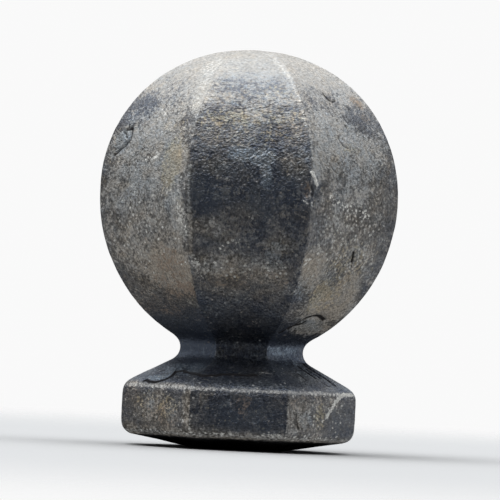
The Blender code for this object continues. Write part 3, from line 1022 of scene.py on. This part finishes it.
@dataclass(frozen=True)
class Scale:
    """Weathered mill scale on forged iron, with painted shade in the cracks, round the neck and under the
    foot, and painted highlights and sheen in places.

    A span is a pair of runs: what it bounds is absent at the first and whole at the second. Where
    there are two, the first is where it begins and the second, read from its end, where it stops.
    """

    name: str = "scaled_iron"
    black: Colour = (0.070, 0.076, 0.094, 1.0)
    grey: Colour = (0.205, 0.203, 0.200, 1.0)
    dust: Colour = (0.45, 0.443, 0.427, 1.0)
    dust_dark: Colour = (0.23, 0.226, 0.218, 1.0)
    warm_black: Colour = (0.088, 0.084, 0.079, 1.0)
    fleck: Colour = (0.27, 0.262, 0.252, 1.0)
    rust: Colour = (0.215, 0.160, 0.122, 1.0)
    ochre: Colour = (0.38, 0.335, 0.235, 1.0)
    # Colour of bluish scale and of the painted sheen on the neck.
    blue_and_sheen: Colour = (0.222, 0.246, 0.270, 1.0)
    chalk: Colour = (0.70, 0.69, 0.65, 1.0)
    # Colour of soot and of the painted shade round the neck.
    sooty_shade: Colour = (0.066, 0.074, 0.094, 1.0)
    # Colour of the painted shade in the cracks and under the foot.
    hollow_shade: Colour = (0.020, 0.019, 0.020, 1.0)
    cool: Colour = (0.91, 1.0, 1.10, 1.0)
    warm: Colour = (1.11, 1.0, 0.87, 1.0)
    speck_spacing_mm: float = 0.9
    broad_mm: float = 7.0
    lace_mm: float = 2.4
    fine_mm: float = 0.55
    grit_mm: float = 0.36
    fleck_mm: float = 0.95
    island_mm: float = 3.2
    tint_mm: float = 0.9
    tint_patch_mm: float = 5.0
    chip_mm: float = 0.55
    peel_mm: float = 0.50
    lump_mm: float = 1.7
    wrinkle_mm: float = 0.8
    upper_rim_run: float = 97.9
    lower_rim_run: float = 107.6
    upper_rim_mm: float = 0.7
    lower_rim_mm: float = 0.8
    long_edge_mm: float = 0.5
    crown: Span = (43.0, 10.0)
    top: Span = (24.0, 14.0)
    lower_ball: Span = (48.0, 64.0)
    # Runs over which painted shade darkens the underside of the foot.
    underside_shade: Span = (109.0, 110.0)
    neck: tuple[Span, Span] = ((78.0, 84.0), (98.5, 96.0))
    tinted: tuple[Span, Span] = ((14.0, 30.0), (46.0, 37.0))
    upright: tuple[Span, Span] = ((34.0, 48.0), (99.0, 97.0))
    bloom_start: Span = (36.0, 44.0)
    bloom_end: Span = (74.0, 66.0)
    bloom_base: Span = (98.0, 99.5)
    wrinkled: tuple[Span, Span] = ((8.0, 30.0), (46.0, 37.0))
    wrinkle_spread: Span = (26.0, 38.0)
    calm: tuple[Span, Span] = ((66.0, 76.0), (97.0, 92.0))
    peeled: Span = (24.0, 44.0)

    def material(self) -> bpy.types.Material:
        """Builds the material."""
        material = bpy.data.materials.new(self.name)
        material.use_nodes = True
        graph = Graph(material.node_tree)
        at = self.reading(graph)
        colour, metallic, roughness, painted_hollow_shade = self.colours(graph, at)
        relief = self.relief(graph, at)
        bump = graph.node("ShaderNodeBump", None, {"Strength": 1.0, "Distance": MM, "Height": relief})
        shader = graph.node("ShaderNodeBsdfPrincipled", None,
                            {"Base Color": colour, "Metallic": metallic, "Roughness": roughness,
                             "Normal": bump.outputs[0]})
        # A dark matt shader for the painted shade in the cracks and under the foot.
        hollow_shade = graph.node("ShaderNodeBsdfPrincipled", None,
                            {"Base Color": self.hollow_shade, "Roughness": 1.0, "Specular IOR Level": 0.0})
        mixed = graph.mix_shaders(painted_hollow_shade, shader, hollow_shade)
        graph.node("ShaderNodeOutputMaterial", None, {"Surface": mixed})
        return material

    def reading(self, graph: Graph) -> Reading:
        """Reads what the skin says about each point and lays the noises over it.

        Args:
            graph: the material's tree.

        Returns:
            The values that the finish is made from.
        """
        place = graph.vector("SCALE", graph.node("ShaderNodeTexCoord").outputs["Object"], 1.0 / MM)
        run = graph.attribute("run_mm")
        crown = run.ramp(*self.crown)
        stain = {kind: graph.attribute(kind.value) for kind in Stain}
        return Reading(
            place=place,
            run=run,
            crown=crown,
            mottle=(crown * -0.75 + 1.0) * (stain[Stain.DUST_AND_HIGHLIGHT] * -0.62 + 1.0),
            stain=stain,
            broad=graph.noise(place, self.broad_mm, 3.0, 0.6, 0.4) - 0.5,
            lace=graph.noise(place, self.lace_mm, 5.0, 0.70, 0.8) - 0.5,
            fine=graph.noise(place, self.fine_mm, 2.0, 0.6) - 0.5,
            grit=graph.noise(self.strokes(graph, place, run), self.grit_mm, 2.0, 0.6) - 0.5,
        )

    def colours(self, graph: Graph, at: Reading) -> tuple[Any, Value, Value, Value]:
        """Layers the scale, the stains on it and the wear over them, with painted shade, sheen and
        highlights.

        Args:
            graph: the material's tree.
            at: what the finish reads.

        Returns:
            The colour, how metallic it is, its roughness, and where painted shade makes it dark and matt
            instead.
        """
        mixed = at.lace * 2.7 + at.fine * 1.9 + at.broad
        # The dust mask also carries a painted highlight beside the front flat's upper left edge.
        settled = at.stain[Stain.DUST_AND_HIGHLIGHT] * 0.95 + at.crown * 1.15 - at.stain[Stain.SOOT_AND_SHADE] * 0.3
        dust = (settled + mixed * at.mottle).ramp(0.40, 0.84)
        ochre = (at.stain[Stain.OCHRE] - at.lace * 2.2 + at.fine * 2.4).ramp(0.4, 0.9)
        rust = (at.stain[Stain.RUST] + at.lace * 3.0 + at.fine * 2.2).ramp(0.45, 0.95)
        colour = self.stained(graph, at, dust)
        colour = graph.blend(ochre * 0.5, colour, self.ochre)
        colour = graph.blend(rust * 0.6, colour, self.rust)
        colour = graph.vector("MULTIPLY", colour, self.tint(graph, at))

        speckle = self.specks(graph, at)
        # Scratches and pale wear, with painted highlights on the chip's rim and along the front flat's
        # upper edges.
        scratch_and_highlight = (at.stain[Stain.SCRATCH_AND_HIGHLIGHT] + at.fine * 1.2 + at.grit).ramp(0.35, 0.75)
        pale = (at.stain[Stain.PALE_AND_HIGHLIGHT] * (at.fine * 2.0 + at.grit * 2.0 + 0.8)).clamped()
        colour = graph.blend(self.rubbing(graph, at) * 0.65, colour, self.dust)
        colour = graph.blend(speckle * (at.stain[Stain.CHALK] * 0.6 + 0.4).clamped(), colour, self.chalk)
        colour = graph.blend(scratch_and_highlight * 0.85, colour, self.chalk)
        colour = graph.blend(pale, colour, self.chalk)
        colour = graph.vector("SCALE", colour, (at.grit + at.fine * 0.5) * self.contrast(at) + 1.0)

        covered = (dust * 0.6).math("MAXIMUM", rust * 0.7).math("MAXIMUM", speckle)
        covered = covered.math("MAXIMUM", ochre * 0.4).math("MAXIMUM", scratch_and_highlight)
        # Painted shade: the cracks and the underside of the foot turn dark and matt.
        crack = (graph.attribute("crack") + at.grit * 0.5).ramp(0.12, 0.75)
        painted_hollow_shade = crack.math("MAXIMUM", at.run.ramp(*self.underside_shade) * 0.6) * 0.96
        return colour, covered * -0.75 + 0.85, covered * 0.2 + at.fine * 0.3 + 0.42, painted_hollow_shade

    def stained(self, graph: Graph, at: Reading, dust: Value) -> bpy.types.NodeSocket:
        """Colour of the scale with its blackened places and painted shade, its dust, its bluish places and
        painted sheen, and its bloom.

        Args:
            graph: the material's tree.
            at: what the finish reads.
            dust: how thickly the dust lies.

        Returns:
            The colour.
        """
        soot_and_shade = at.stain[Stain.SOOT_AND_SHADE]
        powder = at.stain[Stain.DUST_AND_HIGHLIGHT]
        blued_and_sheened = at.stain[Stain.BLUE]
        black = graph.blend((powder * 1.5).clamped(), self.black, self.warm_black)
        haze = at.crown.math("MAXIMUM", powder * 0.8)
        greyed = at.lace * 2.0 + at.broad * 1.8 + at.fine * 1.4 + haze * 0.7 + 0.31
        base = graph.blend(greyed.clamped(), black, self.grey)
        base = graph.blend((soot_and_shade + at.lace * 1.2 + at.fine * 0.6).clamped() * 0.8, base, self.sooty_shade)
        tone = (at.lace * 1.4 + at.fine * 1.5 + at.broad * 1.6) * at.mottle + at.crown * 0.2 + 0.5
        powdery = graph.blend(tone.clamped(), self.dust_dark, self.dust)
        colour = graph.blend(dust * 0.85, base, powdery)
        blue_and_sheen = (blued_and_sheened + at.lace * 2.2 + at.fine * 1.2).ramp(0.4, 0.85)
        colour = graph.blend(blue_and_sheen * (blued_and_sheened * 0.25 + 0.45), colour, self.blue_and_sheen)
        return graph.blend(self.bloom(graph, at) * (soot_and_shade * -0.4 + 1.0), colour, self.fleck)

    def tint(self, graph: Graph, at: Reading) -> bpy.types.NodeSocket:
        """The tint that the colour is multiplied by, from cool to warm.

        Args:
            graph: the material's tree.
            at: what the finish reads.

        Returns:
            The tint.
        """
        soot_and_shade = at.stain[Stain.SOOT_AND_SHADE]
        patchy = graph.noise(at.place, self.tint_patch_mm, 1.0, 0.5, 0.5) - 0.5
        creased = at.run.between(*self.tinted) * graph.attribute("creased")
        warmth = (graph.noise(at.place, self.tint_mm, 2.0, 0.7, 0.3) - 0.5) * (creased * 1.6 + 0.9)
        warmth = warmth + patchy * (soot_and_shade * -0.8 - at.crown * 0.7 + 1.1) - soot_and_shade * 0.3
        warmth = warmth - at.run.between(*self.neck) * 0.4 + 0.45
        warmth = warmth + at.stain[Stain.DUST_AND_HIGHLIGHT] * at.run.ramp(*self.lower_ball) * 0.4
        warmth = warmth + at.crown * 0.16 + at.stain[Stain.RUST] * 0.5
        return graph.blend(warmth.clamped(), self.cool, self.warm)

    def contrast(self, at: Reading) -> Value:
        """How strongly the fine grain shows.

        Args:
            at: what the finish reads.

        Returns:
            The strength.
        """
        soot_and_shade = at.stain[Stain.SOOT_AND_SHADE]
        plain = at.crown * -1.4 + at.run.ramp(*self.top) * 1.2 + at.stain[Stain.DUST_AND_HIGHLIGHT] * 0.2 + 2.0
        # Where painted sheen lies on the neck, the grain shows more.
        return plain * (soot_and_shade * soot_and_shade * -0.6 + 1.0) + at.stain[Stain.BLUE] * 1.2

    def bloom(self, graph: Graph, at: Reading) -> Value:
        """Crisp grey flecks and larger fainter islands on the darker flats, where no dust hides them.

        Args:
            graph: the material's tree.
            at: what the finish reads.

        Returns:
            How strongly they show.
        """
        small = graph.noise(at.place, self.fleck_mm, 2.0, 0.55, 0.4)
        large = graph.noise(at.place, self.island_mm, 4.0, 0.62, 0.8)
        flecks = (small + (large - 0.5) * 0.5).ramp(0.575, 0.625) * 0.72
        islands = (large + (small - 0.5) * 0.25).ramp(0.555, 0.585) * 0.42
        bare = (at.stain[Stain.DUST_AND_HIGHLIGHT] * -1.4 + 1.0).clamped() * at.run.ramp(*self.bloom_start)
        kept = at.run.ramp(*self.bloom_end).math("MAXIMUM", at.run.ramp(*self.bloom_base) * 0.6)
        return flecks.math("MAXIMUM", islands) * bare * kept

    def specks(self, graph: Graph, at: Reading) -> Value:
        """White specks: ragged chips, and single round ones, from none to one in most cells.

        Args:
            graph: the material's tree.
            at: what the finish reads.

        Returns:
            Where they are.
        """
        soot_and_shade = at.stain[Stain.SOOT_AND_SHADE]
        chalk = at.stain[Stain.CHALK]
        chips = graph.noise(at.place, self.chip_mm, 1.0, 0.5, 0.6)
        ragged = (chips + chalk * 0.14 + at.lace * 0.25 - soot_and_shade * 0.05).ramp(0.75, 0.82)
        inputs = {"Vector": at.place, "Scale": 1.0 / self.speck_spacing_mm}
        cell = graph.node("ShaderNodeTexVoronoi", None, inputs)
        chance, _, _ = graph.parts(cell.outputs["Color"])
        away = Value(graph, cell.outputs["Distance"]) + at.fine * 0.35
        crowd = chalk - soot_and_shade * 0.1
        single = away.ramp(0.36, 0.26) * (chance + crowd * 0.6).ramp(0.95, 1.0)
        return ragged.math("MAXIMUM", single)

    def strokes(self, graph: Graph, place: bpy.types.NodeSocket, run: Value) -> bpy.types.NodeSocket:
        """Stretches places for the fine grain, level on the crown and the base and upright between them.

        Args:
            graph: the material's tree.
            place: where it is read, in millimetres.
            run: place along the profile, in millimetres.

        Returns:
            The stretched place.
        """
        upright = run.between(*self.upright)
        x, y, z = graph.parts(place)
        across = upright * 0.6 + 0.6
        return graph.xyz(x * across, y * across, z * (upright * -0.7 + 1.4))

    def rubbing(self, graph: Graph, at: Reading) -> Value:
        """Where handling and weather rubbed the rims and the long edges pale.

        Args:
            graph: the material's tree.
            at: what the finish reads.

        Returns:
            How rubbed it is.
        """
        upper = ((at.run - self.upper_rim_run) / self.upper_rim_mm).bell() * 0.75
        lower = ((at.run - self.lower_rim_run) / self.lower_rim_mm).bell() * 0.7
        across = graph.attribute("edge_mm") / self.long_edge_mm
        long_edges = across.bell() * graph.attribute("rubbed")
        fray = at.lace * 2.4 + at.fine * 1.6 + at.grit * 2.2
        return (upper.math("MAXIMUM", lower).math("MAXIMUM", long_edges) + fray * 0.35).ramp(0.35, 0.95)

    def relief(self, graph: Graph, at: Reading) -> Value:
        """Height of the fine relief in millimetres: orange peel, and level wrinkles on the upper ball.

        Args:
            graph: the material's tree.
            at: what the finish reads.

        Returns:
            The height.
        """
        peel = graph.noise(at.place, self.peel_mm, 2.0, 0.6)
        lumps = graph.noise(at.place, self.lump_mm, 2.0, 0.5)
        x, y, z = graph.parts(at.place)
        across = at.run.ramp(*self.wrinkle_spread) * 0.32 + 0.48
        level = graph.xyz(x * across, y * across, z)
        wrinkles = graph.noise(level, self.wrinkle_mm, 2.0, 0.55, 0.7)
        creased = at.run.between(*self.wrinkled) * graph.attribute("creased")
        calm = at.run.between(*self.calm)
        rough = at.run.ramp(*self.peeled) * 0.5 + 0.6
        return (peel * 0.27 + lumps * 0.16) * (calm * -0.55 + 1.0) * rough + wrinkles * creased * 0.32


@dataclass(frozen=True)
class Glow:
    """A soft light in the sky, even inside one angle from its middle and gone beyond another."""

    azimuth: float
    elevation: float
    strength: float
    inner: float
    outer: float

    def direction(self) -> Vector:
        """Where its middle is."""
        turn = math.radians(self.azimuth)
        rise = math.radians(self.elevation)
        return Vector((math.sin(turn) * math.cos(rise), -math.cos(turn) * math.cos(rise), math.sin(rise)))

    def brightness(self, graph: Graph, toward: bpy.types.NodeSocket) -> Value:
        """How bright it is in a direction."""
        dot = graph.value("ShaderNodeVectorMath", {"operation": "DOT_PRODUCT"},
                          {0: toward, 1: self.direction()}, "Value")
        edges = (math.cos(math.radians(self.outer)), math.cos(math.radians(self.inner)))
        return dot.ramp(*edges, 0.0, self.strength)


@dataclass
class Studio:
    """The camera at the photograph's angle, a pale floor and soft light from above and the sides."""

    picture_pixels: float = 500.0
    pixel_size: float = 0.2018 * MM
    distance_pixels: float = 6000.0
    aim: tuple[float, float, float] = (0.74 * MM, 0.0, 40.27 * MM)
    eye_height: float = 24.9 * MM
    lean: float = math.radians(2.8)
    sensor_mm: float = 36.0
    nearest: float = 0.1
    farthest: float = 20.0
    backdrop: float = 0.95
    floor_albedo: float = 0.46
    floor_radius: float = 0.45
    floor_corners: int = 96
    floor_fade: Span = (0.3, 0.98)
    shade_albedo: float = 0.01
    shade_radius: float = 0.0215
    shade_corners: int = 48
    shade_drop: float = 0.2 * MM
    sky: Colour = (0.96, 0.98, 1.0, 1.0)
    dimmest: float = 0.092
    glows: tuple[Glow, ...] = (
        Glow(180.0, 62.0, 2.1, 0.0, 45.0),
        Glow(-90.0, 62.0, 2.0, 0.0, 45.0),
        Glow(-50.0, 62.0, 1.4, 0.0, 40.0),
        Glow(90.0, 62.0, 1.2, 0.0, 45.0),
        Glow(90.0, 33.0, 0.8, 0.0, 40.0),
        Glow(-90.0, 33.0, 0.17, 0.0, 40.0),
        Glow(-90.0, 5.0, 0.15, 0.0, 60.0),
        Glow(-90.0, -30.0, 0.54, 0.0, 50.0),
        Glow(90.0, -30.0, 1.0, 0.0, 50.0),
        Glow(0.0, -50.0, 0.52, 0.0, 40.0),
    )

    def build(self) -> None:
        """Sets up everything that isn't the finial."""
        self.set_view()
        self.place_camera()
        self.lay_floor()
        self.light_sky()

    def set_view(self) -> None:
        """Shows colours as they are, with no film curve."""
        bpy.context.scene.view_settings.view_transform = "Standard"
        bpy.context.scene.view_settings.look = "None"

    def place_camera(self) -> None:
        """A long lens almost level with the finial, rolled by the finial's lean in the photograph."""
        camera = bpy.data.cameras.new("camera")
        camera.sensor_width = self.sensor_mm
        camera.lens = self.sensor_mm * self.distance_pixels / self.picture_pixels
        camera.clip_start = self.nearest
        camera.clip_end = self.farthest
        holder = bpy.data.objects.new("camera", camera)
        eye = Vector((self.aim[0], -self.distance_pixels * self.pixel_size, self.eye_height))
        level = (Vector(self.aim) - eye).to_track_quat("-Z", "Y")
        holder.location = eye
        holder.rotation_mode = "QUATERNION"
        holder.rotation_quaternion = level @ Quaternion((0.0, 0.0, 1.0), self.lean)
        bpy.context.scene.collection.objects.link(holder)
        bpy.context.scene.camera = holder

    @staticmethod
    def grey(albedo: float) -> Colour:
        """A plain grey."""
        return albedo, albedo, albedo, 1.0

    @staticmethod
    def disc(name: str, corners: int, radius: float, height: float = 0.0) -> tuple[bpy.types.Object, Graph]:
        """Adds a level disc with a material of its own.

        Args:
            name: name of the disc and of its material.
            corners: how many corners it has.
            radius: its radius.
            height: its height above the foot.

        Returns:
            The disc, and its material's empty tree.
        """
        bpy.ops.mesh.primitive_circle_add(vertices=corners, radius=radius, fill_type="NGON",
                                          location=(0.0, 0.0, height))
        disc = bpy.context.object
        disc.name = name
        material = bpy.data.materials.new(name)
        material.use_nodes = True
        disc.data.materials.append(material)
        return disc, Graph(material.node_tree)

    def lay_floor(self) -> None:
        """A round pale floor that fades into the background."""
        floor, graph = self.disc("floor", self.floor_corners, self.floor_radius)
        x, y, _ = graph.parts(graph.node("ShaderNodeTexCoord").outputs["Object"])
        away = (x * x + y * y).math("SQRT")
        diffuse = graph.node("ShaderNodeBsdfDiffuse", None, {"Color": self.grey(self.floor_albedo)})
        clear = graph.node("ShaderNodeBsdfTransparent")
        start, end = self.floor_fade
        fade = away.ramp(self.floor_radius * start, self.floor_radius * end)
        graph.node("ShaderNodeOutputMaterial", None, {"Surface": graph.mix_shaders(fade, diffuse, clear)})
        floor.visible_glossy = False
        floor.visible_diffuse = False
        self.shade_foot()

    def shade_foot(self) -> None:
        """A dark disc just under the floor, seen only by the finial's own faces, to shade the foot."""
        shade, graph = self.disc("foot_shade", self.shade_corners, self.shade_radius, -self.shade_drop)
        dark = graph.node("ShaderNodeBsdfDiffuse", None, {"Color": self.grey(self.shade_albedo)})
        graph.node("ShaderNodeOutputMaterial", None, {"Surface": dark.outputs[0]})
        shade.visible_camera = False
        shade.visible_shadow = False

    def light_sky(self) -> None:
        """Light from all round: strongest overhead, soft at the sides and behind, dim in front."""
        world = bpy.data.worlds.new("studio")
        bpy.context.scene.world = world
        world.use_nodes = True
        graph = Graph(world.node_tree)
        toward = graph.node("ShaderNodeTexCoord").outputs["Generated"]
        strength: Value | float = self.dimmest
        for glow in self.glows:
            strength = glow.brightness(graph, toward) + strength
        seen = graph.node("ShaderNodeLightPath").outputs["Is Camera Ray"]
        sky = graph.node("ShaderNodeBackground", None, {"Color": self.sky, "Strength": strength})
        behind = {"Color": self.grey(self.backdrop), "Strength": 1.0}
        plain = graph.node("ShaderNodeBackground", None, behind)
        graph.node("ShaderNodeOutputWorld", None, {"Surface": graph.mix_shaders(seen, sky, plain)})


def outward(mesh: bpy.types.Mesh) -> None:
    """Turns a closed mesh's faces to point out of it, if they point in."""
    cage = bmesh.new()
    cage.from_mesh(mesh)
    if cage.calc_volume(signed=True) < 0:
        bmesh.ops.reverse_faces(cage, faces=cage.faces)
        cage.to_mesh(mesh)
    cage.free()


def main() -> None:
    """Dresses the finial, logs its triangle count and sets up the studio."""
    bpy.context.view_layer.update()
    section = SolidSection()
    skin = FinialBody().build(section, Scale().material())
    outward(skin.data)
    Wear().apply(skin.data)
    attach(skin, "root")
    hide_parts(SOLID)
    triangles = sum(len(face.vertices) - 2 for face in skin.data.polygons)
    LOG.info("%s: %d triangles", skin.name, triangles)
    Studio().build()


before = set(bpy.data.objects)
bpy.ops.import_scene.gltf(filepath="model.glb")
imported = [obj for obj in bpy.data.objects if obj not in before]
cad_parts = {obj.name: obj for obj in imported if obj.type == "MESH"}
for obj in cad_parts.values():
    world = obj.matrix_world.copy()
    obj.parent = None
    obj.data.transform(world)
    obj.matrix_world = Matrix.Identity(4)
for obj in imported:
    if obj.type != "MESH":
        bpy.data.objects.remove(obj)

if __name__ == "__main__":
    logging.basicConfig(level=logging.INFO, format="%(message)s")
    main()
